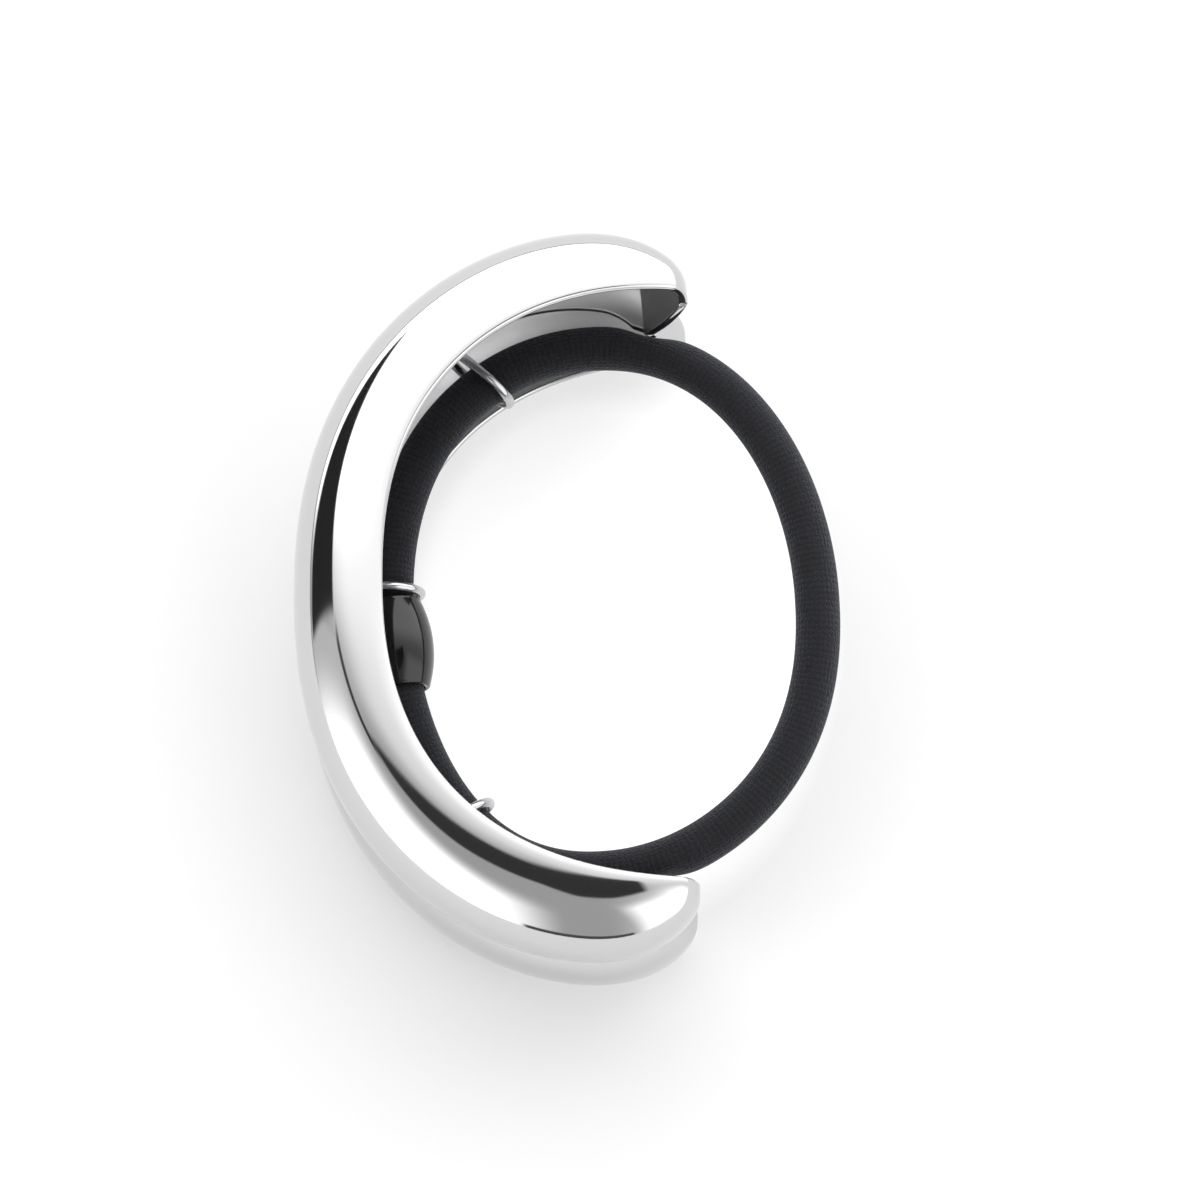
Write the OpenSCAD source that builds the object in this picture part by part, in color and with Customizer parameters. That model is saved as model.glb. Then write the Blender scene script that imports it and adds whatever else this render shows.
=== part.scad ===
// Ponytail cuff: a C-shaped cuff of thin polished metal with two domed lobes side by
// side, three wire loops soldered inside it, a round elastic band that runs through the
// loops, and the small barrel that joins the ends of the band.
// Sizes are in millimetres. The cuff lies on its side: the ponytail goes through along Z.

/* [Cuff outline] */
// Depth of the C, from its open side to the rim at its middle
rim_depth = 27.2; // [26:0.1:29]
// Half the height of the C at the rim
rim_half_height = 26.6; // [26:0.1:28]
// Squareness of the C, where 2 is an ellipse
rim_squareness = 2.35; // [2.1:0.05:2.6]

/* [Lobes] */
// Height of each dome above the rim
dome_height = 8.1; // [7:0.1:10]
// Distance from the crease to the crest of each lobe
lobe_offset = 5.9; // [5.2:0.1:7]
// Distance from the crest of each lobe to its lip
lobe_side = 6.5; // [5.5:0.1:8]
// Fullness of each dome, where 2 is an ellipse
dome_fullness = 2.4; // [2.1:0.1:2.8]
// Thickness of the sheet
wall = 0.8; // [0.6:0.1:1]
// Height of the crease at the middle of the C, as a share of the dome
crease_share = 0.82; // [0.7:0.01:0.88]
// Height of the metal under the crease, where the two lobes join
crease_web = 1.5; // [1.3:0.1:2]

/* [Lobe ends] */
// Length of the notch between the ends of the two lobes
notch_length = 3; // [2.6:0.1:3.6]
// Drop of the rim at the bottom of the notch
notch_drop = 1; // [0.6:0.1:1]
// Share by which the dome is lower at its ends
end_lowering = 0.54; // [0.4:0.01:0.6]
// Share by which the lip side is narrower at its ends
end_narrowing = 0.37; // [0.2:0.01:0.5]
// Length over which the dome curves down to its end
dome_round = 10.9; // [8:0.1:13]
// Radius of the lip corner at the end of each lobe
lip_round = 1.8; // [1.4:0.1:2.6]

/* [Elastic band] */
// Thickness of the round band
band_d = 4; // [3.6:0.1:4.2]
// Half the size of the band across the opening, at the middle of its thickness
band_half_x = 19.1; // [18.5:0.1:20]
// Half the height of the band, at the middle of its thickness
band_half_y = 24.3; // [23.8:0.1:24.3]
// Squareness of the band, where 2 is an ellipse
band_squareness = 2.12; // [2:0.02:2.14]
// Share by which the band is taller on the side of the cuff
band_egg = 0.03; // [0.02:0.01:0.05]
// Share by which the band sways in and out, four times round
band_sway = 0.009; // [0:0.001:0.01]
// Distance from the middle of the band to the open side of the C
band_shift = 7.9; // [7.5:0.1:8]
// Height of the band's middle above the middle of the C
band_lift = 0.15; // [0:0.05:0.2]
// Depth of the dent where each notch presses on the band
band_dent = 0.7; // [0.6:0.05:0.8]

/* [Wire loops] */
// Thickness of the wire
wire_d = 0.85; // [0.7:0.05:1]
// Clearance between the wire and the band
wire_gap = 0.25; // [0.15:0.05:0.3]
// Distance of the middle loop above the middle of the C, along the rim
middle_loop_at = 1.7; // [1.5:0.1:2.2]
// Distance of the top loop above the middle of the C, along the rim
top_loop_at = 24; // [20:0.5:25]
// Distance of the bottom loop below the middle of the C, along the rim
bottom_loop_at = 20.8; // [18:0.1:24]
// Angle by which the top and bottom loops lean towards the open side of the C
loop_lean = 12; // [0:1:15]

/* [Joiner] */
// Length of the barrel that joins the ends of the band
joiner_length = 8.2; // [7.6:0.1:8.4]
// Thickness of the barrel at its middle
joiner_d = 6.7; // [6.2:0.1:7]
// Thickness of the barrel at its ends
joiner_end_d = 5.1; // [4.9:0.1:5.4]
// Depth of the socket in each end
socket_depth = 2.6; // [2:0.1:3]
// Distance of the middle of the barrel below the middle of the C
joiner_at = 3.2; // [3:0.1:3.6]

/* [Hidden] */
silver = [0.80, 0.81, 0.83];
fabric_black = [0.12, 0.12, 0.14];
gloss_black = [0.05, 0.05, 0.06];

// Where the part stands: on its lower lips, with its outline centred over the origin
half_width = lobe_offset + lobe_side;
left_edge = -rim_depth - dome_height;
right_edge = band_half_x - band_shift + band_d / 2;
place = [-(left_edge + right_edge) / 2, 0, half_width];

function spow(v, e) = sign(v) * pow(abs(v), e);
function unit(v) = v / norm(v);
function flat(lists) = [for (l = lists) each l];

// Rim of the cuff, in the plane of the crease. The angle is 0 at the middle of the C
// and 90 at either end, and the curve is measured by its length from the middle.
function rim_curve(f) = [
    -rim_depth * spow(cos(f), 2 / rim_squareness),
    rim_half_height * spow(sin(f), 2 / rim_squareness)
];
steps = 240;
angles = [for (i = [0:steps]) 90 * i / steps];
lengths = [
    for (i = 0, s = 0; i <= steps;
        s = s + norm(rim_curve(90 * min(i + 1, steps) / steps) - rim_curve(90 * i / steps)),
        i = i + 1) s
];
half_length = lengths[steps];
by_length = [for (i = [0:steps]) [lengths[i], angles[i]]];
function rim_angle(s) = sign(s) * lookup(abs(s), by_length);
function rim_point(s) = rim_curve(rim_angle(s));
function rim_out(s) =
    let (p = rim_point(s), e = rim_squareness - 1)
    unit([
        -pow(abs(p.x) / rim_depth, e) / rim_depth,
        spow(p.y / rim_half_height, e) / rim_half_height
    ]);

// Sizes of one lobe's section at a distance d from the end of the lobe
function rounded(d, reach, power) =
    pow(max(0, 1 - pow(max(0, 1 - d / reach), power)), 1 / power);
function toward_end(d) = max(0, 1 - d / half_length);
function crest(d) =
    dome_height * (1 - end_lowering * pow(toward_end(d), 7.6)) * rounded(d, dome_round, 4);
function lip_side(d) =
    lobe_side * (1 - end_narrowing * pow(toward_end(d), 7)) * rounded(d, lip_round, 2.4);
function along_crease(d) = min(1, max(0, (d - notch_length) / (half_length - notch_length)));
function crease_height(d) =
    crease_share * pow(1 - pow(1 - along_crease(d), 2), 1 / 3);
function valley_side(d) =
    d < notch_length
    ? lobe_offset * rounded(d, notch_length, 1.1)
    : lobe_offset / pow(1 - pow(crease_height(d), dome_fullness), 1 / dome_fullness);
function drop(d) =
    d < notch_length
    ? notch_drop * rounded(d, notch_length, 2)
    : notch_drop * pow(max(0, 1 - (d - notch_length) / 3.7), 2);

// The lobes meet under the crease and reach past its plane by a hair, to join as one
join = 0.02;
function meet(z) = abs(z) < join ? -join : z;

// The valley side of the inner face, which meets the crease lower than the outer face
function inner_crest(d) = crest(d) * (1 - wall / dome_height);
function inner_crease(d) =
    max(0, (crest(d) + drop(d)) * crease_height(d) - crease_web - drop(d))
    / (inner_crest(d) + drop(d));
inner_notch = notch_length + wall / 4;
function inner_valley(d) =
    d < inner_notch
    ? lobe_offset * rounded(d, inner_notch, 1.1)
    : lobe_offset / pow(1 - pow(inner_crease(d), dome_fullness), 1 / dome_fullness);

// Point of a lobe's dome, as height above the rim and distance from the crease. The
// share q runs from -1 at the crease or the notch, over the crest at 0, to 1 at the lip.
// The inner face has the same form with every size less the sheet's thickness.
function dome_point(d, q, inner) =
    let (
        h = inner ? inner_crest(d) : crest(d),
        lip = lip_side(d) * (inner ? 1 - wall / lobe_side : 1),
        valley = inner ? inner_valley(d) : valley_side(d),
        cut = min(1, lobe_offset / max(valley, 0.001)),
        notch_end = inner ? inner_notch : notch_length,
        valley_angle = asin(pow(d < notch_end ? 1 : cut, dome_fullness / 2)),
        a = q < 0 ? q * valley_angle : 90 * q,
        across = spow(sin(a), 2 / dome_fullness),
        up = pow(max(0, cos(a)), 2 / dome_fullness)
    )
    q < 0
    ? [(h + drop(d)) * up - drop(d), meet(lobe_offset + valley * across)]
    : [h * up, lobe_offset + lip * across];

// The web under the crease, between the two lobes
function web_point(d) =
    let (
        top = dome_point(d, -1, false)[0],
        low = dome_point(d, -1, true)[0]
    )
    d < notch_length
    ? [-drop(d), lobe_offset - (valley_side(d) + inner_valley(d)) / 2]
    : d < inner_notch ? [-drop(d), -join] : [(top + low) / 2, -join];

// Stations along a lobe: [end of the C, distance from that end]. They are close
// together at the ends, and one lies just on each side of the notch's bottom.
end_steps = 8;
mid_steps = 19;
end_dist = [
    for (k = [1:end_steps])
        notch_length * pow(k / end_steps, 3) - (k == end_steps ? 0.05 : 0)
];
mid_dist = [
    for (k = [0:mid_steps])
        notch_length + 0.05
        + (half_length - notch_length - 0.05) * pow(k / mid_steps, 1.5)
];
arm = concat(end_dist, mid_dist);
arm_count = len(arm);
stations = concat(
    [for (i = [0:arm_count - 1]) [-1, arm[i]]],
    [for (i = [arm_count - 2:-1:0]) [1, arm[i]]]
);
shares = [for (k = [-5:6]) k < 0 ? k / 5 : k / 6];
columns = len(shares);
rings = len(stations);

// A point of a section at a station, out of the plane of the crease by side * z
function place_point(station, section, inset) =
    let (
        d = station[1],
        s = station[0] * (half_length - d - inset * (1 - d / half_length)),
        base = rim_point(s),
        out = rim_out(s)
    )
    [base.x + out.x * section[0], base.y + out.y * section[0], section[1]];

lobe_points = concat(
    [for (st = stations) for (q = shares)
        place_point(st, dome_point(st[1], q, false), 0)],
    [for (st = stations) for (q = shares)
        place_point(st, dome_point(st[1], q, true), wall)],
    [for (st = stations) place_point(st, web_point(st[1]), wall / 2)],
    [for (e = [-1, 1]) place_point([e, 0], [0, lobe_offset], 0)],
    [for (e = [-1, 1]) place_point([e, 0], [0, lobe_offset], wall)]
);
outer_at = 0;
inner_at = rings * columns;
web_at = 2 * rings * columns;
outer_tip = web_at + rings;
inner_tip = outer_tip + 2;

// Index of a point: ring -1 and ring "rings" are the two tips
function vert(layer, i, j) =
    i < 0 ? (layer == 0 ? outer_tip : inner_tip)
    : i >= rings ? (layer == 0 ? outer_tip : inner_tip) + 1
    : (layer == 0 ? outer_at : inner_at) + i * columns + j;
function web(i) = i < 0 ? outer_tip : i >= rings ? outer_tip + 1 : web_at + i;
function two(a, b, c, d) = [[a, c, b], [a, d, c]];
function real_face(f) = f[0] != f[1] && f[1] != f[2] && f[2] != f[0];

last = columns - 1;
lobe_faces = [
    for (f = flat(flat([
        [for (i = [-1:rings - 1]) for (j = [0:columns - 2])
            two(vert(0, i, j), vert(0, i, j + 1), vert(0, i + 1, j + 1), vert(0, i + 1, j))],
        [for (i = [-1:rings - 1]) for (j = [0:columns - 2])
            two(vert(1, i, j), vert(1, i + 1, j), vert(1, i + 1, j + 1), vert(1, i, j + 1))],
        [for (i = [-1:rings - 1])
            two(vert(0, i, last), vert(1, i, last), vert(1, i + 1, last), vert(0, i + 1, last))],
        [for (i = [-1:rings - 1])
            two(vert(1, i, 0), web(i), web(i + 1), vert(1, i + 1, 0))],
        [for (i = [-1:rings - 1])
            two(web(i), vert(0, i, 0), vert(0, i + 1, 0), web(i + 1))]
    ])))
    if (real_face(f)) f
];

// Middle of the band, with the same kind of curve as the rim. The angle is 0 at the
// bow across the opening and 180 at the middle of the cuff.
function band_curve(u) =
    let (sway = 1 - band_sway * sin(4 * u))
    [
        band_half_x * spow(cos(u), 2 / band_squareness) * sway - band_shift,
        band_half_y * spow(sin(u), 2 / band_squareness) * (1 - band_egg * cos(u)) * sway
            + band_lift
    ];
// Distance to the band's middle from a point of the cuff, along a direction inward
function cross_2d(a, b) = a.x * b.y - a.y * b.x;
function band_cross(p, dir, low = 90, high = 270, n = 30) =
    let (mid = (low + high) / 2)
    n == 0 ? (band_curve(mid) - p) * dir
    : cross_2d(dir, band_curve(mid) - p) > 0
        ? band_cross(p, dir, mid, high, n - 1)
        : band_cross(p, dir, low, mid, n - 1);

// Angle on the band at a given height on the side of the cuff
function band_angle(y, low = 90, high = 270, n = 30) =
    let (mid = (low + high) / 2)
    n == 0 ? mid
    : band_curve(mid).y > y ? band_angle(y, mid, high, n - 1) : band_angle(y, low, mid, n - 1);
mouth_a = band_angle(-joiner_at + joiner_length / 2);
mouth_b = band_angle(-joiner_at - joiner_length / 2);
joiner_top = band_curve(mouth_a);
joiner_low = band_curve(mouth_b);
joiner_mid = (joiner_top + joiner_low) / 2;
joiner_dir = unit(joiner_top - joiner_low);
joiner_turn = atan2(-joiner_dir.x, joiner_dir.y);

// The band's rings: a straight stretch in each socket, and the long way round between
band_sides = 12;
band_rings = 60;
band_in_socket = socket_depth - 0.1;
band_line = concat(
    [joiner_top - joiner_dir * band_in_socket, joiner_top - joiner_dir * 0.1],
    [for (k = [1:band_rings - 1])
        let (u = mouth_a + (mouth_b - 360 - mouth_a) * k / band_rings) band_curve(u)],
    [joiner_low + joiner_dir * 0.1, joiner_low + joiner_dir * band_in_socket]
);
line_count = len(band_line);
function line_dir(i) =
    unit(band_line[min(i + 1, line_count - 1)] - band_line[max(i - 1, 0)]);

// The notches press a shallow dent into the outer side of the band
dent_at = -notch_length - wall;
function dent(p) = band_dent * exp(-pow((p.x - dent_at) / 1.9, 2));
band_points = [
    for (i = [0:line_count - 1]) for (j = [0:band_sides - 1])
        let (
            dir = line_dir(i),
            a = 360 * j / band_sides,
            p = band_line[i],
            r = band_d / 2 - dent(p) * pow(max(0, cos(a)), 2)
        )
        [p.x - dir.y * r * cos(a), p.y + dir.x * r * cos(a), r * sin(a)]
];
band_faces = concat(
    [for (i = [0:line_count - 2]) for (j = [0:band_sides - 1])
        let (k = (j + 1) % band_sides)
        [i * band_sides + j, (i + 1) * band_sides + j, (i + 1) * band_sides + k,
            i * band_sides + k]],
    [[for (j = [0:band_sides - 1]) j]],
    [[for (j = [band_sides - 1:-1:0]) (line_count - 1) * band_sides + j]]
);

// Barrel profile: half its length and half its thickness, bowed on one arc
barrel_steps = 12;
barrel_bow = (joiner_d - joiner_end_d) / 2;
barrel_r = (pow(joiner_length / 2, 2) + pow(barrel_bow, 2)) / (2 * barrel_bow);
function barrel_radius(y) = joiner_d / 2 - barrel_r + sqrt(pow(barrel_r, 2) - pow(y, 2));
socket_d = band_d + 0.2;

module lobe() {
    polyhedron(points = lobe_points, faces = lobe_faces, convexity = 8);
}

// One straight stretch of a wire between two points of its middle line
module wire_stretch(a, b, turn) {
    hull() {
        for (p = [a, b]) {
            translate([p[0], 0, p[1]])
                rotate([0, turn - p[2], 0])
                    cylinder(h = 0.02, d = wire_d, center = true, $fn = 6);
        }
    }
}

// A loop round the band. It is a long oval across the hollow of the cuff: its near end
// goes round the band and its far end is sunk in the web under the crease.
loop_steps = 8;
module wire_loop(s, lean) {
    base = rim_point(s);
    out = rim_out(s);
    turn = atan2(out.y, out.x) + lean;
    near = -band_cross(base, [-cos(turn), -sin(turn)]);
    half = band_d / 2 + wire_gap + wire_d / 2;
    low = dome_point(half_length - abs(s), -1, true)[0];
    far = low + 0.25 - half;
    line = concat(
        [for (k = [0:loop_steps])
            let (a = 180 * k / loop_steps)
            [far + half * sin(a), half * cos(a), a]],
        [for (k = [0:loop_steps])
            let (a = 180 + 180 * k / loop_steps)
            [near + half * sin(a), half * cos(a), a]]
    );
    translate([base.x, base.y, 0])
        rotate([0, 0, turn])
            for (i = [0:len(line) - 1])
                wire_stretch(line[i], line[(i + 1) % len(line)], 90);
}

module cuff() {
    color(silver)
        translate(place)
            union() {
                lobe();
                mirror([0, 0, 1])
                    lobe();
                wire_loop(middle_loop_at, 0);
                wire_loop(top_loop_at, loop_lean);
                wire_loop(-bottom_loop_at, -loop_lean);
            }
}

module hair_elastic() {
    color(fabric_black)
        translate(place)
            polyhedron(points = band_points, faces = band_faces, convexity = 4);
}

module joiner() {
    color(gloss_black)
        translate(place + [joiner_mid.x, joiner_mid.y, 0])
            rotate([0, 0, joiner_turn])
                rotate([-90, 0, 0])
                    difference() {
                        rotate_extrude($fn = 48)
                            polygon(concat(
                                [[0, -joiner_length / 2]],
                                [for (k = [0:barrel_steps])
                                    let (y = joiner_length * (k / barrel_steps - 0.5))
                                    [barrel_radius(y), y]],
                                [[0, joiner_length / 2]]
                            ));
                        for (e = [-1, 1])
                            translate([0, 0, e * (joiner_length / 2 - socket_depth / 2 + 0.5)])
                                cylinder(
                                    h = socket_depth + 1,
                                    d = socket_d,
                                    center = true,
                                    $fn = 48
                                );
                    }
}

cuff();
hair_elastic();
joiner();
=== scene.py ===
import math

import bpy
import numpy as np
from mathutils import Matrix, Vector


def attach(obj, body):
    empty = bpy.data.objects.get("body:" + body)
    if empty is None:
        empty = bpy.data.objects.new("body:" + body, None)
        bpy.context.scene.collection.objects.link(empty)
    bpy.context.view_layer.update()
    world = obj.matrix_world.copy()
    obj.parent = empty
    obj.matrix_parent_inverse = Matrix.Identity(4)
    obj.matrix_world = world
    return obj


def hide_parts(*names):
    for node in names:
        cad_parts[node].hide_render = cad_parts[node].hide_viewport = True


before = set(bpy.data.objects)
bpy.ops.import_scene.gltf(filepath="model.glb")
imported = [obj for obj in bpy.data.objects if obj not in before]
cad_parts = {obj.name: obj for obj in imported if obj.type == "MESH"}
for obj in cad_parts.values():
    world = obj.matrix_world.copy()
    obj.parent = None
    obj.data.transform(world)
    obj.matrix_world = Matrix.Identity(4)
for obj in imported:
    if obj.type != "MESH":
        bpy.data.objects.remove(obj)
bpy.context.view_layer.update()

MM = 0.001

# Sizes in millimetres and shape powers, the same as in the part's source
RIM_DEPTH, RIM_HALF_HEIGHT, RIM_SQUARENESS = 27.2, 26.6, 2.35
DOME_HEIGHT, LOBE_OFFSET, LOBE_SIDE, DOME_FULLNESS = 8.1, 5.9, 6.5, 2.4
WALL, CREASE_SHARE, CREASE_WEB = 0.8, 0.82, 1.5
NOTCH_LENGTH, NOTCH_DROP = 3.0, 1.0
INNER_NOTCH = NOTCH_LENGTH + WALL / 4
END_LOWERING, END_NARROWING, DOME_ROUND, LIP_ROUND = 0.54, 0.37, 10.9, 1.8
BAND_D, BAND_HALF_X, BAND_HALF_Y = 4.0, 19.1, 24.3
BAND_SQUARENESS, BAND_EGG, BAND_SHIFT = 2.12, 0.03, 7.9
BAND_SWAY, BAND_LIFT, BAND_DENT = 0.009, 0.15, 0.7
WIRE_D, WIRE_GAP, LOOP_LEAN = 0.85, 0.25, 12.0
MIDDLE_LOOP_AT, TOP_LOOP_AT, BOTTOM_LOOP_AT = 1.7, 24.0, 20.8
JOINER_LENGTH, JOINER_D, JOINER_END_D = 8.2, 6.7, 5.1
SOCKET_DEPTH, JOINER_AT = 2.6, 3.2
LOWERING_POWER, NARROWING_POWER = 7.6, 7
CREST_POWER, LIP_POWER, NOTCH_POWER = 4, 2.4, 1.1
DROP_FADE, DENT_REACH, WIRE_SUNK = 3.7, 1.9, 0.25
SOCKET_PLAY = 0.1

CURVE_POINTS = 20001
TINY = 1e-6

HALF_WIDTH = LOBE_OFFSET + LOBE_SIDE
LEFT_EDGE = -RIM_DEPTH - DOME_HEIGHT
RIGHT_EDGE = BAND_HALF_X - BAND_SHIFT + BAND_D / 2
PLACE = np.array([-(LEFT_EDGE + RIGHT_EDGE) / 2, 0.0, HALF_WIDTH])


def spow(v, e):
    """A power that keeps the sign."""
    return np.sign(v) * np.abs(v) ** e


# Curves of the rim, the lobes and the band


def rim_curve(f):
    """Points of the rim in the crease's plane; f is the angle in degrees."""
    f = np.radians(f)
    p = 2 / RIM_SQUARENESS
    return np.stack([-RIM_DEPTH * spow(np.cos(f), p), RIM_HALF_HEIGHT * spow(np.sin(f), p)], -1)


def length_along(points):
    """Length of a line of points up to each of them."""
    return np.concatenate([[0], np.cumsum(np.linalg.norm(np.diff(points, axis=0), axis=1))])


RIM_POINTS = rim_curve(90 * np.linspace(0, 1, CURVE_POINTS))
RIM_LENGTHS = length_along(RIM_POINTS)
HALF_LENGTH = RIM_LENGTHS[-1]


def rim_at(s):
    """Rim point and outward direction at the length s from the middle of the C."""
    s = np.asarray(s, float)
    a = np.abs(s)
    x = np.interp(a, RIM_LENGTHS, RIM_POINTS[:, 0])
    y = np.interp(a, RIM_LENGTHS, RIM_POINTS[:, 1])
    e = RIM_SQUARENESS - 1
    nx = -(np.abs(x) / RIM_DEPTH) ** e / RIM_DEPTH
    ny = (y / RIM_HALF_HEIGHT) ** e / RIM_HALF_HEIGHT
    n = np.hypot(nx, ny)
    sign = np.where(s < 0, -1.0, 1.0)
    return np.stack([x, sign * y], -1), np.stack([nx / n, sign * ny / n], -1)


def rounded(d, reach, power):
    """Rises from 0 at the end of a lobe to 1 at the given reach, as a rounded corner."""
    return np.maximum(0, 1 - np.maximum(0, 1 - d / reach) ** power) ** (1 / power)


def toward_end(d):
    """1 at the end of a lobe and 0 at the middle of the C."""
    return np.maximum(0, 1 - d / HALF_LENGTH)


def crest(d):
    """Height of a lobe's outer face over the rim, at the distance d from its end."""
    lowering = END_LOWERING * toward_end(d) ** LOWERING_POWER
    return DOME_HEIGHT * (1 - lowering) * rounded(d, DOME_ROUND, CREST_POWER)


def lip_side(d):
    """Half-width of a lobe on the side of its lip."""
    narrowing = END_NARROWING * toward_end(d) ** NARROWING_POWER
    return LOBE_SIDE * (1 - narrowing) * rounded(d, LIP_ROUND, LIP_POWER)


def crease_height(d):
    """Height of the crease as a share of the crest's."""
    along = np.clip((d - NOTCH_LENGTH) / (HALF_LENGTH - NOTCH_LENGTH), 0, 1)
    return CREASE_SHARE * (1 - (1 - along) ** 2) ** (1 / 3)


def drop(d):
    """Depth below the rim that the valley between the lobes reaches near the notch."""
    inside = NOTCH_DROP * rounded(d, NOTCH_LENGTH, 2)
    after = NOTCH_DROP * np.maximum(0, 1 - (d - NOTCH_LENGTH) / DROP_FADE) ** 2
    return np.where(d < NOTCH_LENGTH, inside, after)


def cut_by(share):
    """Half-width of a lobe's dome on the side of the crease, where it is cut at that share."""
    return LOBE_OFFSET / (1 - share ** DOME_FULLNESS) ** (1 / DOME_FULLNESS)


def outer_valley(d):
    """Half-width of a lobe's outer face on the side of the crease."""
    at_notch = LOBE_OFFSET * rounded(d, NOTCH_LENGTH, NOTCH_POWER)
    return np.where(d < NOTCH_LENGTH, at_notch, cut_by(crease_height(d)))


def inner_crest(d):
    """Height of a lobe's inner face over the rim."""
    return crest(d) * (1 - WALL / DOME_HEIGHT)


def inner_crease(d):
    """Height of the web's lower edge as a share of the inner crest's."""
    low = np.maximum(0, (crest(d) + drop(d)) * crease_height(d) - CREASE_WEB - drop(d))
    return low / np.maximum(inner_crest(d) + drop(d), TINY)


def inner_valley(d):
    """Half-width of a lobe's inner face on the side of the crease."""
    at_notch = LOBE_OFFSET * rounded(d, INNER_NOTCH, NOTCH_POWER)
    return np.where(d < INNER_NOTCH, at_notch, cut_by(inner_crease(d)))


def band_curve(u):
    """Middle of the band; 0 is at its bow across the opening and 180 at the cuff."""
    u = np.radians(u)
    p = 2 / BAND_SQUARENESS
    sway = 1 - BAND_SWAY * np.sin(4 * u)
    return np.stack(
        [
            BAND_HALF_X * spow(np.cos(u), p) * sway - BAND_SHIFT,
            BAND_HALF_Y * spow(np.sin(u), p) * (1 - BAND_EGG * np.cos(u)) * sway + BAND_LIFT,
        ],
        -1,
    )


CUFF_SIDE = np.linspace(90, 270, CURVE_POINTS)
CUFF_SIDE_POINTS = band_curve(CUFF_SIDE)


def band_angle(y):
    """Angle on the band at a given height on the side of the cuff."""
    return float(np.interp(-y, -CUFF_SIDE_POINTS[:, 1], CUFF_SIDE))


MOUTH_A = band_angle(-JOINER_AT + JOINER_LENGTH / 2)
MOUTH_B = band_angle(-JOINER_AT - JOINER_LENGTH / 2)
TOP, LOW = band_curve(MOUTH_A), band_curve(MOUTH_B)
JOINER_MID = (TOP + LOW) / 2
JOINER_DIR = (TOP - LOW) / np.linalg.norm(TOP - LOW)


def band_cross(p, direction):
    """Distance from a point of the cuff, along a direction inward, to the band's middle."""
    q = CUFF_SIDE_POINTS - p
    side = direction[0] * q[:, 1] - direction[1] * q[:, 0]
    return float(q[np.argmin(np.abs(side))] @ direction)


# Mesh helpers


def mesh_object(name, verts_mm, faces):
    """A smooth mesh from points in millimetres, in the frame that the curves use."""
    mesh = bpy.data.meshes.new(name)
    verts = (np.asarray(verts_mm, float) + PLACE) * MM
    mesh.from_pydata(verts.tolist(), [], [list(map(int, f)) for f in faces])
    mesh.validate()
    mesh.update()
    mesh.polygons.foreach_set("use_smooth", [True] * len(mesh.polygons))
    obj = bpy.data.objects.new(name, mesh)
    bpy.context.scene.collection.objects.link(obj)
    return obj


def ring_faces(rings, sides):
    """Faces between rings of points that each close on themselves."""
    out = []
    for i in range(rings - 1):
        for j in range(sides):
            k = (j + 1) % sides
            out.append((i * sides + j, i * sides + k, (i + 1) * sides + k, (i + 1) * sides + j))
    return out


def flipped(faces):
    """The same faces, turned to look the other way."""
    return [tuple(reversed(f)) for f in faces]


def weld(verts, faces, tolerance=1e-5):
    """Joins the points that lie together and drops the faces that shrink to a line.

    Returns the points, the faces and the place of each face in the list given.
    """
    key = np.round(np.asarray(verts) / tolerance).astype(np.int64)
    _, first, inverse = np.unique(key, axis=0, return_index=True, return_inverse=True)
    inverse = inverse.reshape(-1)
    out, kept = [], []
    for i, f in enumerate(faces):
        g = []
        for v in f:
            w = int(inverse[v])
            if not g or g[-1] != w:
                g.append(w)
        if len(g) > 1 and g[0] == g[-1]:
            g.pop()
        if len(set(g)) > 2:
            out.append(g)
            kept.append(i)
    return np.asarray(verts)[first], out, kept


# The cuff

SIDE_STEPS = 22
LIP_STEPS = 8
NEAR_STEPS, FAR_STEPS = 28, 110
NEAR_CROWDING, FAR_CROWDING = 2.6, 1.4
# puts a station just before the place where a curve changes, and not on it
STEP_ASIDE = 1e-9
# the lip bulges in full where the crest is this high or more
LIP_BULGE, BULGE_FROM = 0.3, 2.0
LIP_SQUARENESS = 2.6


def stations():
    """Distances from the end of a lobe, close together by the notch and the tip."""
    near = NOTCH_LENGTH * np.linspace(0, 1, NEAR_STEPS + 1)[1:] ** NEAR_CROWDING
    rest = HALF_LENGTH - NOTCH_LENGTH
    far = NOTCH_LENGTH + rest * np.linspace(0, 1, FAR_STEPS + 1)[1:] ** FAR_CROWDING
    far = np.sort(np.append(far, INNER_NOTCH - STEP_ASIDE))
    return np.concatenate([near - STEP_ASIDE * (near >= NOTCH_LENGTH), far])


def lobe_face(d, height, valley, lips, bulge, notch_end):
    """Heights and distances from the crease for the outer or the inner face of a lobe."""
    power = 2 / DOME_FULLNESS
    low = drop(d)
    cut = np.minimum(1, LOBE_OFFSET / np.maximum(valley, TINY))
    start = np.where(d < notch_end, 1.0, cut)
    turn = np.arcsin(start ** (DOME_FULLNESS / 2))
    a = np.linspace(-1, 0, SIDE_STEPS + 1)[:-1][None] * turn[:, None]
    valley_up = np.maximum(0, np.cos(a)) ** power
    valley_h = (height + low)[:, None] * valley_up - low[:, None]
    valley_z = LOBE_OFFSET + valley[:, None] * spow(np.sin(a), power)
    a = np.linspace(0, 1, SIDE_STEPS + 1)[None] * math.pi / 2
    lip_h = height[:, None] * np.maximum(0, np.cos(a)) ** power
    lip_z = LOBE_OFFSET + lips[:, None] * spow(np.sin(a), power)
    heights = np.hstack([valley_h, lip_h])
    share = np.clip(heights / np.maximum(height, TINY)[:, None], 0, 1)
    return heights + bulge[:, None] * (1 - share), np.hstack([valley_z, lip_z])


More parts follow.
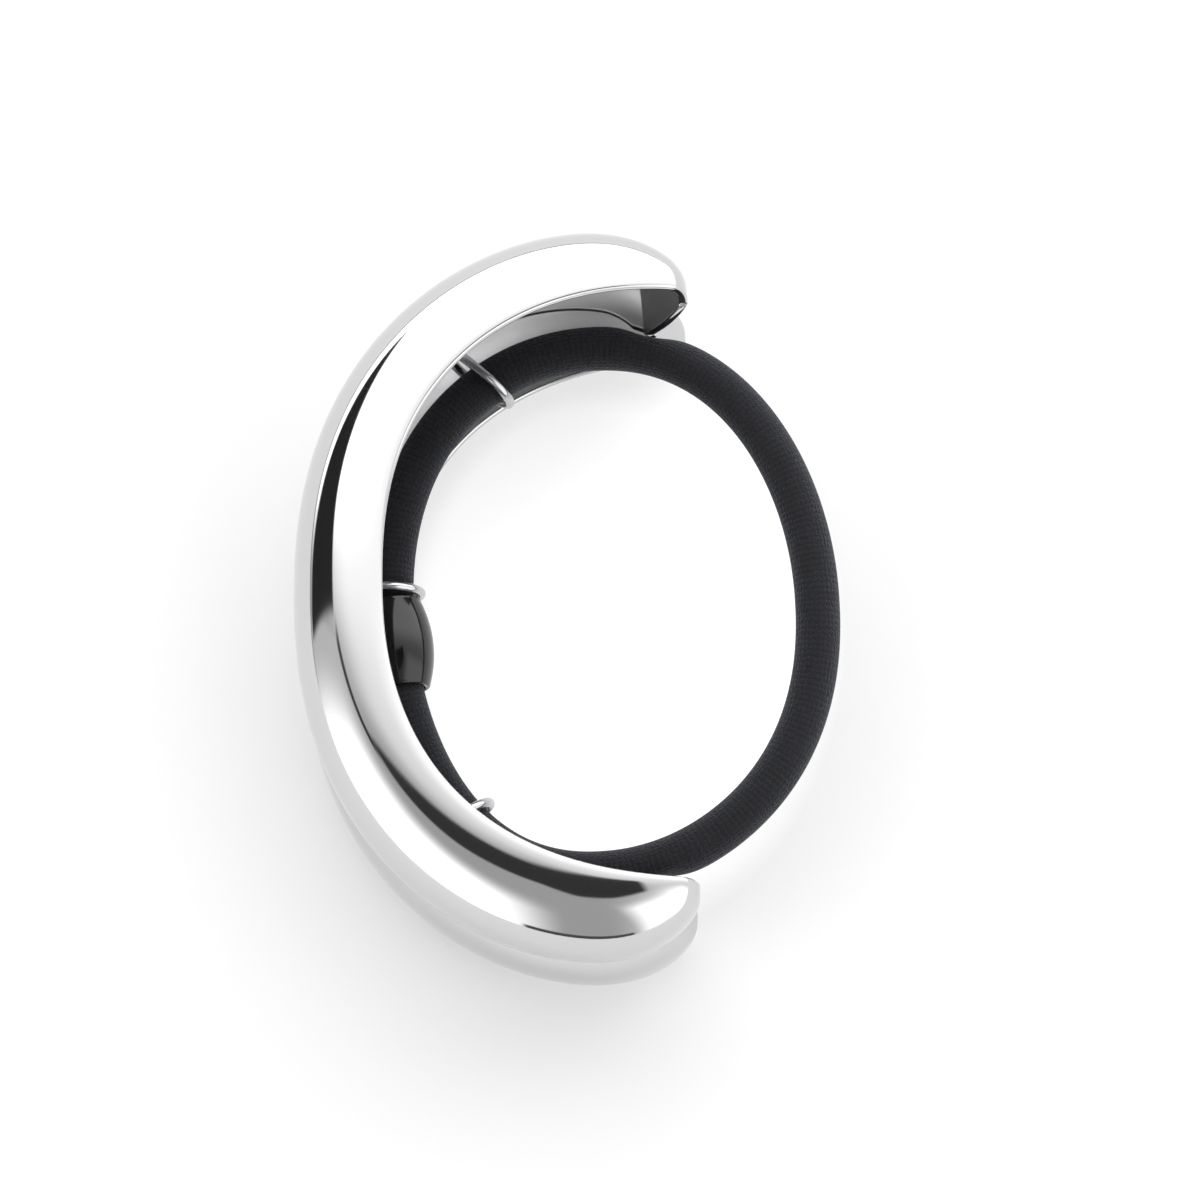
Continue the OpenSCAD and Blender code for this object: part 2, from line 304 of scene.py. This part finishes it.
def edge_round(h0, z0, h1, z1, bulge):
    """Rounded edge of the sheet between two faces, as heights, distances and a share."""
    t = np.linspace(0, math.pi, LIP_STEPS + 1)[1:-1]
    c = spow(np.cos(t), 2 / LIP_SQUARENESS)
    s = spow(np.sin(t), 2 / LIP_SQUARENESS)
    mid_h, mid_z, half_z = (h0 + h1) / 2, (z0 + z1) / 2, (z0 - z1) / 2
    heights = mid_h[:, None] - bulge[:, None] * s[None] + (h0 - mid_h)[:, None] * c
    return heights, mid_z[:, None] + half_z[:, None] * c[None], (1 - c) / 2


def lobe():
    """One lobe as a grid of points, and the distance of each row from the lobe's end.

    The first and last rows are the tips, drawn to the middle of the lobe's width.
    Its columns run over the outer face, round the lip, back over the inner face and
    across the wall of the notch, where the two lobes are apart.
    """
    arm = stations()
    d = np.concatenate([arm, arm[-2::-1]])
    sign = np.concatenate([-np.ones(len(arm)), np.ones(len(arm) - 1)])
    h, lip = crest(d), lip_side(d)
    bulge = LIP_BULGE * np.minimum(1, h / BULGE_FROM)
    out_h, out_z = lobe_face(d, h, outer_valley(d), lip, bulge, NOTCH_LENGTH)
    in_h, in_z = lobe_face(
        d, inner_crest(d), inner_valley(d), lip * (1 - WALL / LOBE_SIDE), bulge, INNER_NOTCH
    )
    lip_h, lip_z, share = edge_round(out_h[:, -1], out_z[:, -1], in_h[:, -1], in_z[:, -1], bulge)
    wall_h, wall_z, _ = edge_round(in_h[:, 0], in_z[:, 0], out_h[:, 0], out_z[:, 0], bulge)
    face = np.ones(out_h.shape[1])
    inset = WALL * np.concatenate([0 * face, share, face, 1 - share])
    heights = np.hstack([out_h, lip_h, in_h[:, ::-1], wall_h])
    zs = np.hstack([out_z, lip_z, in_z[:, ::-1], wall_z])
    s = sign[:, None] * (HALF_LENGTH - d[:, None] - inset * (1 - d[:, None] / HALF_LENGTH))
    base, out = rim_at(s)
    grid = np.dstack([base + out * heights[..., None], zs])
    tips = []
    for end in (-1, 1):
        tip, _ = rim_at(end * (HALF_LENGTH - inset))
        tips.append(np.column_stack([tip, np.full(len(inset), LOBE_OFFSET)])[None])
    return np.concatenate([tips[0], grid, tips[1]]), np.concatenate([[0], d, [0]])


def cuff_skin():
    """Points and faces of both lobes, and which faces are inside."""
    grid, d = lobe()
    rows, cols = grid.shape[:2]
    outer_cols = 2 * SIDE_STEPS + 1
    inner_first = outer_cols + LIP_STEPS - 1
    inner_last = inner_first + outer_cols - 1
    # past the notch the lobes meet in the crease's plane
    grid[d > NOTCH_LENGTH - TINY, 0, 2] = 0.0
    grid[d > INNER_NOTCH - TINY, inner_last:, 2] = 0.0
    faces, inside = [], []
    for i in range(rows - 1):
        apart = max(d[i], d[i + 1]) < INNER_NOTCH + TINY
        for j in range(cols if apart else inner_last):
            k = (j + 1) % cols
            faces.append((i * cols + j, i * cols + k, (i + 1) * cols + k, (i + 1) * cols + j))
            inside.append(inner_first <= j < inner_last)
    points = grid.reshape(-1, 3)
    count = len(points)
    mirrored = [tuple(count + v for v in f) for f in flipped(faces)]
    points, skin, kept = weld(np.vstack([points, points * [1, 1, -1]]), faces + mirrored)
    return points, skin, np.array(inside + inside)[kept]


skin_points, skin_faces, skin_inside = cuff_skin()
cuff = mesh_object("cuff_shell", skin_points, skin_faces)


# Wire loops

WIRE_SIDES = 20
TURN_POINTS, STRAIGHT_POINTS = 33, 9
# a direction that no loop starts along
ASLANT = [0.3, 0.2, 0.93]


def wire_tube(line, radius):
    """Points of round sections along a closed line, each turned to follow the last."""
    n = len(line)
    t = np.roll(line, -1, 0) - np.roll(line, 1, 0)
    t /= np.linalg.norm(t, axis=1)[:, None]
    up = np.zeros_like(t)
    up[0] = np.cross(t[0], ASLANT)
    up[0] /= np.linalg.norm(up[0])
    for i in range(1, n):
        v = up[i - 1] - t[i] * np.dot(up[i - 1], t[i])
        up[i] = v / np.linalg.norm(v)
    side = np.cross(t, up)
    a = np.linspace(0, 2 * math.pi, WIRE_SIDES, endpoint=False)[None, :, None]
    return line[:, None] + radius * (np.cos(a) * up[:, None] + np.sin(a) * side[:, None])


def wire_loop(name, s, lean):
    """A long oval of wire round the band, at the length s along the rim; lean in degrees."""
    base, out = rim_at(s)
    turn = math.atan2(out[1], out[0]) + math.radians(lean)
    out = np.array([math.cos(turn), math.sin(turn)])
    half = BAND_D / 2 + WIRE_GAP + WIRE_D / 2
    d = np.array(HALF_LENGTH - abs(s))
    web_low = float((inner_crest(d) + drop(d)) * inner_crease(d) - drop(d))
    far, near = web_low + WIRE_SUNK - half, -band_cross(base, -out)
    a = np.linspace(0, math.pi, TURN_POINTS)
    top = np.stack([far + half * np.sin(a), half * np.cos(a)], -1)
    bottom = np.stack([near - half * np.sin(a), -half * np.cos(a)], -1)
    straight = np.linspace(0, 1, STRAIGHT_POINTS)[1:-1, None]
    loop = np.vstack([
        top, top[-1] + (bottom[0] - top[-1]) * straight,
        bottom, bottom[-1] + (top[0] - bottom[-1]) * straight,
    ])
    line = np.column_stack([base + out * loop[:, :1], loop[:, 1]])
    pts = wire_tube(line, WIRE_D / 2)
    n, sides = pts.shape[:2]
    faces = ring_faces(n, sides)
    # the last ring joins the first, turned to match it
    first, last = pts[0], pts[-1]
    gaps = [np.linalg.norm(last - np.roll(first, -k, 0), axis=1).sum() for k in range(sides)]
    shift = int(np.argmin(gaps))
    for j in range(sides):
        k = (j + 1) % sides
        faces.append(((n - 1) * sides + j, (n - 1) * sides + k,
                      (k + shift) % sides, (j + shift) % sides))
    return mesh_object(name, pts.reshape(-1, 3), faces)


loops = [
    wire_loop("wire_loop_middle", MIDDLE_LOOP_AT, 0),
    wire_loop("wire_loop_top", TOP_LOOP_AT, LOOP_LEAN),
    wire_loop("wire_loop_bottom", -BOTTOM_LOOP_AT, -LOOP_LEAN),
]


# The elastic

BAND_SIDES = 72
BAND_POINTS, FINE_POINTS, SOCKET_POINTS = 900, 8001, 12
UP = np.array([0, 0, 1.0])


def band_line():
    """Middle line of the elastic, from inside one socket round to inside the other."""
    p = band_curve(np.linspace(MOUTH_A, MOUTH_B - 360, FINE_POINTS))
    s = length_along(p)
    t = np.linspace(0, s[-1], BAND_POINTS)
    arc = np.stack([np.interp(t, s, p[:, 0]), np.interp(t, s, p[:, 1])], -1)
    inside = np.linspace(SOCKET_PLAY, SOCKET_DEPTH - SOCKET_PLAY, SOCKET_POINTS)[:, None]
    line = np.vstack([TOP - JOINER_DIR * inside[::-1], arc[1:-1], LOW + JOINER_DIR * inside])
    return np.column_stack([line, np.zeros(len(line))])


def knit_map(mesh, along):
    """UV map with one unit a turn round the band, and the same scale along it."""
    place = np.zeros((len(mesh.loops), 2))
    vertex = np.zeros(len(mesh.loops), int)
    mesh.loops.foreach_get("vertex_index", vertex)
    ring, side = vertex // BAND_SIDES, vertex % BAND_SIDES
    place[:, 0] = along[ring] / (math.pi * BAND_D)
    place[:, 1] = side / BAND_SIDES
    # where the turn ends, the first side counts as 1 and not as 0
    for face in mesh.polygons:
        corners = slice(face.loop_start, face.loop_start + face.loop_total)
        own = side[corners]
        if own.max() == BAND_SIDES - 1 and own.min() == 0 and face.loop_total == 4:
            place[corners, 1] = np.where(own == 0, 1.0, place[corners, 1])
    mesh.uv_layers.new(name="knit").data.foreach_set("uv", place.reshape(-1))


def elastic():
    """The band, a round tube with a shallow dent outside at each notch of the cuff."""
    line = band_line()
    t = np.gradient(line, axis=0)
    t /= np.linalg.norm(t, axis=1)[:, None]
    inward = np.stack([t[:, 1], -t[:, 0], np.zeros(len(t))], -1)
    a = np.linspace(0, 2 * math.pi, BAND_SIDES, endpoint=False)
    dent = BAND_DENT * np.exp(-((line[:, 0] + NOTCH_LENGTH + WALL) / DENT_REACH) ** 2)
    r = BAND_D / 2 - dent[:, None] * np.maximum(0, -np.cos(a))[None] ** 2
    across = (r * np.cos(a)[None])[..., None]
    upward = (r * np.sin(a)[None])[..., None]
    pts = line[:, None] + inward[:, None] * across + UP * upward
    n = len(line)
    faces = flipped(ring_faces(n, BAND_SIDES))
    faces.append(tuple(range(BAND_SIDES)))
    faces.append(tuple((n - 1) * BAND_SIDES + j for j in reversed(range(BAND_SIDES))))
    obj = mesh_object("hair_elastic_knit", pts.reshape(-1, 3), faces)
    knit_map(obj.data, length_along(line))
    return obj


band = elastic()


# The joiner

BARREL_SIDES, BARREL_POINTS, EDGE_POINTS = 96, 49, 7
BARREL_EDGE, SOCKET_EDGE = 0.22, 0.12


def joiner_profile():
    """Radius and place along the axis, from the bottom of one socket to the other's."""
    bow = (JOINER_D - JOINER_END_D) / 2
    half = JOINER_LENGTH / 2
    arc_r = (half ** 2 + bow ** 2) / (2 * bow)
    ys = np.linspace(-half + BARREL_EDGE, half - BARREL_EDGE, BARREL_POINTS)
    r = JOINER_D / 2 - arc_r + np.sqrt(arc_r ** 2 - ys ** 2)
    t = np.linspace(-math.pi / 2, 0, EDGE_POINTS)
    edge_r = r[0] - BARREL_EDGE + BARREL_EDGE * np.cos(t)
    edge_y = -half + BARREL_EDGE + BARREL_EDGE * np.sin(t)
    socket = BAND_D / 2 + SOCKET_PLAY
    deep = half - SOCKET_DEPTH
    low_end = [(0.0, -deep), (socket, -deep), (socket, -half + SOCKET_EDGE),
               (socket + SOCKET_EDGE, -half)]
    low_end += list(zip(edge_r, edge_y))
    return np.array(low_end + list(zip(r[1:-1], ys[1:-1])) + [(q, -y) for q, y in low_end[::-1]])


def joiner():
    """The barrel, turned from its profile."""
    prof = joiner_profile()
    a = np.linspace(0, 2 * math.pi, BARREL_SIDES, endpoint=False)
    axis = np.array([JOINER_DIR[0], JOINER_DIR[1], 0.0])
    side = np.array([JOINER_DIR[1], -JOINER_DIR[0], 0.0])
    middle = np.array([JOINER_MID[0], JOINER_MID[1], 0.0])
    along = prof[:, 1][:, None, None]
    across = (prof[:, 0][:, None] * np.cos(a)[None])[..., None]
    upward = (prof[:, 0][:, None] * np.sin(a)[None])[..., None]
    pts = middle + axis * along + side * across + UP * upward
    pts, faces, _ = weld(pts.reshape(-1, 3), flipped(ring_faces(len(prof), BARREL_SIDES)))
    return mesh_object("joiner_barrel", pts, faces)


barrel = joiner()

bpy.context.view_layer.update()
for obj in [cuff, band, barrel] + loops:
    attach(obj, "root")
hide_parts("cuff")
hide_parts("hair_elastic")
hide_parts("joiner")


# Materials


def add(nodes, kind, **values):
    """Adds a node; values go to its inputs by name or, with a leading underscore, to itself."""
    node = nodes.new(kind)
    for key, value in values.items():
        if key.startswith("_"):
            setattr(node, key[1:], value)
        else:
            node.inputs[key].default_value = value
    return node


def combine(nodes, links, a, b, operation):
    """A sum, product or such of an output and a number or another output."""
    node = add(nodes, "ShaderNodeMath", _operation=operation)
    links.new(a, node.inputs[0])
    if isinstance(b, float):
        node.inputs[1].default_value = b
    else:
        links.new(b, node.inputs[1])
    return node.outputs[0]


class Material:
    """A material with its shader, and the steps that the materials here share."""

    def __init__(self, name, color, **sockets):
        self.data = bpy.data.materials.new(name)
        self.data.use_nodes = True
        self.nodes, self.links = self.data.node_tree.nodes, self.data.node_tree.links
        self.shader = self.nodes["Principled BSDF"]
        if color:
            self.shader.inputs["Base Color"].default_value = (*color, 1)
        for key, value in sockets.items():
            self.shader.inputs[key.replace("_", " ")].default_value = value
        self.where = add(self.nodes, "ShaderNodeTexCoord").outputs["Object"]

    def noise(self, scale, detail, roughness=0.5):
        """Noise fixed to the object."""
        node = add(self.nodes, "ShaderNodeTexNoise", Scale=scale, Detail=detail,
                   Roughness=roughness)
        self.links.new(self.where, node.inputs["Vector"])
        return node.outputs["Fac"]

    def spread(self, source, from_range, to_range, socket):
        """Maps a value from one range to another and gives it to the shader."""
        node = add(self.nodes, "ShaderNodeMapRange")
        node.inputs["From Min"].default_value, node.inputs["From Max"].default_value = from_range
        node.inputs["To Min"].default_value, node.inputs["To Max"].default_value = to_range
        self.links.new(source, node.inputs["Value"])
        self.links.new(node.outputs["Result"], self.shader.inputs[socket])

    def bump(self, height, strength, depth):
        """Lets a height roughen the surface, with its depth in metres."""
        node = add(self.nodes, "ShaderNodeBump", Strength=strength, Distance=depth)
        self.links.new(height, node.inputs["Height"])
        self.links.new(node.outputs["Normal"], self.shader.inputs["Normal"])

    def combine(self, a, b, operation):
        """The module's combine, on this material's nodes."""
        return combine(self.nodes, self.links, a, b, operation)


def polished_silver():
    """The sheet outside: mirror polish, a faint haze and slight waves."""
    m = Material("polished_silver", (0.60, 0.60, 0.605), Metallic=1.0)
    haze = m.noise(scale=180.0, detail=4.0, roughness=0.6)
    m.spread(haze, (0.3, 0.7), (0.035, 0.075), "Roughness")
    m.bump(m.noise(scale=95.0, detail=1.0), strength=0.25, depth=0.00006)
    return m.data


def brushed_and_shaded_inside():
    """The sheet inside the lobes: a soft grey brushed finish, darker in colour than the outside,
    which paints shade into the hollows.
    """
    # painted shade: a darker copy of the silver for the faces in the hollows; the rougher finish
    # is the brushing
    m = Material("brushed_and_shaded_inside", (0.46, 0.46, 0.465), Metallic=1.0)
    brush = m.noise(scale=420.0, detail=3.0)
    m.spread(brush, (0.3, 0.7), (0.36, 0.46), "Roughness")
    m.bump(brush, strength=0.08, depth=0.00002)
    return m.data


def soldered_wire():
    """The wire: duller than the sheet and slightly uneven."""
    m = Material("soldered_wire", (0.50, 0.50, 0.51), Metallic=1.0)
    grain = m.noise(scale=900.0, detail=3.0)
    m.spread(grain, (0.3, 0.7), (0.14, 0.30), "Roughness")
    m.bump(grain, strength=0.3, depth=0.00003)
    return m.data


def black_knit():
    """The elastic: fine ribs across its length, broken into stitches, with a short nap."""
    m = Material("black_knit", None, Roughness=0.92, Specular_IOR_Level=0.25,
                 Sheen_Weight=0.26, Sheen_Roughness=0.45, Sheen_Tint=(0.62, 0.64, 0.72, 1))
    uv = add(m.nodes, "ShaderNodeUVMap", _uv_map="knit").outputs["UV"]

    def bands(direction, scale, distortion):
        """Wavy stripes along or round the band."""
        node = add(m.nodes, "ShaderNodeTexWave", _wave_type="BANDS",
                   _bands_direction=direction, Scale=scale, Distortion=distortion, Detail=3.0)
        node.inputs["Detail Scale"].default_value = 6.0
        m.links.new(uv, node.inputs["Vector"])
        return node.outputs["Fac"]

    def part_of(source, share):
        return m.combine(source, share, "MULTIPLY")

    ribs = bands("X", scale=7.5, distortion=5.0)
    rows = bands("Y", scale=10.0, distortion=7.0)
    nap = m.noise(scale=5200.0, detail=3.0)
    cloud = m.noise(scale=420.0, detail=4.0)
    stitch = m.combine(part_of(ribs, 0.62), part_of(rows, 0.38), "ADD")
    height = m.combine(stitch, part_of(nap, 0.8), "ADD")
    specks = m.combine(part_of(nap, 0.35), part_of(cloud, 0.5), "ADD")
    shade = m.combine(part_of(stitch, 0.55), specks, "ADD")
    ramp = add(m.nodes, "ShaderNodeValToRGB")
    dark, pale = ramp.color_ramp.elements
    dark.position, dark.color = 0.35, (0.0055, 0.0057, 0.0070, 1)
    pale.position, pale.color = 0.95, (0.0125, 0.0128, 0.0160, 1)
    m.links.new(shade, ramp.inputs["Fac"])
    m.links.new(ramp.outputs["Color"], m.shader.inputs["Base Color"])
    m.bump(height, strength=0.75, depth=0.00012)
    return m.data


def gloss_black():
    """The barrel: glossy moulded plastic with a faint orange peel and fine rub marks."""
    m = Material("gloss_black", (0.006, 0.006, 0.007))
    rub = m.noise(scale=700.0, detail=5.0)
    m.spread(rub, (0.35, 0.7), (0.07, 0.16), "Roughness")
    m.bump(m.noise(scale=1500.0, detail=1.0), strength=0.15, depth=0.00002)
    return m.data


def floor_white():
    """The floor: pale paint with painted light on it: it glows a little all over, which lifts
    the shade round the cuff, and more in an oval under the hole, which paints out the shade
    inside the ring.
    """
    m = Material("floor_white", (0.60, 0.60, 0.60), Roughness=0.7, Specular_IOR_Level=0.1,
                 Emission_Color=(1, 1, 1, 1))
    # the oval in metres, and the painted light inside and outside it
    half_x, half_y = 0.0200, 0.0260
    middle_x, middle_y = 0.0025, 0.0015
    painted_light_inside, painted_light_outside = 0.62, 0.21
    oval = add(m.nodes, "ShaderNodeVectorMath", _operation="MULTIPLY_ADD")
    oval.inputs[1].default_value = (1 / half_x, 1 / half_y, 0.0)
    oval.inputs[2].default_value = (-middle_x / half_x, -middle_y / half_y, 0.0)
    m.links.new(m.where, oval.inputs[0])
    reach = add(m.nodes, "ShaderNodeVectorMath", _operation="LENGTH")
    m.links.new(oval.outputs["Vector"], reach.inputs[0])
    # painted light: the glow is strongest inside the oval, where the ring's shade falls on the
    # floor
    m.spread(reach.outputs["Value"], (0.80, 1.15), (painted_light_inside, painted_light_outside),
             "Emission Strength")
    return m.data


cuff.data.materials.append(polished_silver())
# the faces inside the lobes get the darker silver, which is painted shade
cuff.data.materials.append(brushed_and_shaded_inside())
cuff.data.polygons.foreach_set("material_index", skin_inside.astype(int))
wire = soldered_wire()
for obj in loops:
    obj.data.materials.append(wire)
band.data.materials.append(black_knit())
barrel.data.materials.append(gloss_black())


# Floor

FLOOR_HALF = 1.5
corners = [(x * FLOOR_HALF, y * FLOOR_HALF, 0) for x, y in ((-1, -1), (1, -1), (1, 1), (-1, 1))]
floor_mesh = bpy.data.meshes.new("floor")
floor_mesh.from_pydata(corners, [], [(0, 1, 2, 3)])
floor = bpy.data.objects.new("floor", floor_mesh)
scene = bpy.context.scene
scene.collection.objects.link(floor)
floor.data.materials.append(floor_white())


# Light

# three softboxes, a dark flag with its arm and the dark overhead, each set out in the
# world by the directions of its edges
scene.view_settings.view_transform = "Standard"
world = bpy.data.worlds.new("studio")
scene.world = world
world.use_nodes = True
nodes, links = world.node_tree.nodes, world.node_tree.links
sky = add(nodes, "ShaderNodeTexCoord").outputs["Generated"]


def toward(azimuth, elevation):
    """Direction at angles in degrees; azimuth 0 is +X and 90 is +Y."""
    a, e = math.radians(azimuth), math.radians(elevation)
    return Vector((math.cos(e) * math.cos(a), math.cos(e) * math.sin(a), math.sin(e)))


def edge(normal, low, high):
    """1 on the side of a plane through the middle that its normal points to, else 0."""
    dot = add(nodes, "ShaderNodeVectorMath", _operation="DOT_PRODUCT")
    dot.inputs[1].default_value = normal
    links.new(sky, dot.inputs[0])
    ramp = add(nodes, "ShaderNodeMapRange", _interpolation_type="SMOOTHSTEP")
    ramp.inputs["From Min"].default_value = low
    ramp.inputs["From Max"].default_value = high
    links.new(dot.outputs["Value"], ramp.inputs["Value"])
    return ramp.outputs["Result"]


def all_of(*masks):
    """Where all the masks hold."""
    out = masks[0]
    for other in masks[1:]:
        out = combine(nodes, links, out, other, "MULTIPLY")
    return out


def overhead(x, y):
    """Direction near the zenith, by its angles from it towards +X and +Y."""
    return toward(math.degrees(math.atan2(y, x)), 90 - math.hypot(x, y))


def patch(points, soft):
    """Mask of a convex patch with corners in the given directions."""
    middle = sum(points, Vector()).normalized()
    masks = []
    for a, b in zip(points, points[1:] + points[:1]):
        n = a.cross(b).normalized()
        n = n if n.dot(middle) > 0 else -n
        masks.append(edge(n, -soft, soft))
    return all_of(*masks)


def lay(under, value, mask):
    """Lays a light or a dark of the given strength over what is there."""
    mix = add(nodes, "ShaderNodeMix")
    mix.inputs["B"].default_value = value
    links.new(mask, mix.inputs["Factor"])
    if isinstance(under, float):
        mix.inputs["A"].default_value = under
    else:
        links.new(under, mix.inputs["A"])
    return mix.outputs["Result"]


zenith = toward(0, 90)
# strengths of the lights and the darks
room, room_open_side = 0.52, 0.86
front_box, back_box, back_box_foot, left_box, left_box_end = 1.9, 2.5, 1.15, 2.4, 0.75
flag, arm, above, low_room, horizon = 0.03, 0.05, 0.05, 0.10, 0.42

light = lay(room, room_open_side, edge(toward(0, 0), 0.1, 0.5))

# the softbox in front, low on the open side
in_front = all_of(edge(toward(18, 0), 0.0, 0.22), edge(toward(-90, 0), -0.15, 0.1),
                  edge(-zenith, -0.93, -0.80))
light = lay(light, front_box, in_front)

# the large softbox behind the object, with a soft foot towards the zenith
behind = all_of(edge(toward(90, 0), 0.0, 0.17), edge(toward(62, 0), -0.25, 0.05))
light = lay(light, back_box_foot, behind)
light = lay(light, back_box, all_of(behind, edge(toward(90, 0), 0.15, 0.45)))

# the softbox at the left, which falls off at its end by the flag
left_end = all_of(edge(toward(-101, 4), -0.015, 0.015), edge(toward(172, 0), 0.0, 0.4),
                  edge(-zenith, -0.90, -0.72))
left_core = all_of(edge(toward(-98, 4), 0.0, 0.36), edge(toward(172, 0), 0.0, 0.5),
                   edge(-zenith, -0.88, -0.62))
light = lay(light, left_box_end, left_end)
light = lay(light, left_box, left_core)

# the dark flag between the softboxes behind and at the left, and its arm
light = lay(light, flag, patch([toward(124, 13), toward(162, 44), toward(171, 3)], 0.015))
arm_plane = overhead(-30, 0).cross(overhead(-43, 13)).normalized()
arm_band = all_of(edge(arm_plane, -0.032, -0.012), edge(-arm_plane, -0.032, -0.012),
                  edge(overhead(-36, 6), 0.984, 0.993))
light = lay(light, arm, arm_band)

# the dark overhead, in two patches that overlap
dark_left = patch([overhead(-31, 2), overhead(0, 2), overhead(0, -13), overhead(-18, -10),
                   overhead(-26, -4)], 0.022)
dark_right = patch([overhead(-5, 1), overhead(20, 8), overhead(22, -4), overhead(12, -14),
                    overhead(2, -17), overhead(-5, -12)], 0.028)
light = lay(light, above, combine(nodes, links, dark_left, dark_right, "MAXIMUM"))

# the dark of the room in front, low down, and a grey line at the horizon behind
low_patch = patch([toward(-112, -6), toward(-112, 6), toward(-72, 6), toward(-72, -6)], 0.02)
light = lay(light, low_room, low_patch)
horizon_line = all_of(edge(zenith, -0.03, -0.01), edge(-zenith, -0.035, -0.015),
                      edge(toward(110, 0), 0.3, 0.5))
light = lay(light, horizon, horizon_line)
links.new(light, nodes["Background"].inputs["Strength"])
nodes["Background"].inputs["Color"].default_value = (1, 1, 1, 1)
# the world is sampled without an importance map, which renders faster
world.cycles.sampling_method = "NONE"


# Camera

AZ, EL, ROLL = math.radians(-0.243), math.radians(75.241), math.radians(-0.665)
TARGET = np.array([2.766, 0.79, 12.4])
DISTANCE, FOCAL_PX = 395.8, 4412.4
SENSOR, PHOTO_PX = 36, 1200
CLIP_NEAR, CLIP_FAR = 0.02, 20
back = np.array([math.cos(EL) * math.sin(AZ), -math.cos(EL) * math.cos(AZ), math.sin(EL)])
level = np.array([math.cos(AZ), math.sin(AZ), 0.0])
steep = np.cross(back, level)
right = math.cos(ROLL) * level + math.sin(ROLL) * steep
up = -math.sin(ROLL) * level + math.cos(ROLL) * steep
spot = (TARGET + DISTANCE * back) * MM
camera = bpy.data.objects.new("camera", bpy.data.cameras.new("camera"))
scene.collection.objects.link(camera)
camera.matrix_world = Matrix((
    (right[0], up[0], back[0], spot[0]),
    (right[1], up[1], back[1], spot[1]),
    (right[2], up[2], back[2], spot[2]),
    (0, 0, 0, 1),
))
camera.data.sensor_width = SENSOR
camera.data.lens = FOCAL_PX * SENSOR / PHOTO_PX
camera.data.clip_start, camera.data.clip_end = CLIP_NEAR, CLIP_FAR
scene.camera = camera
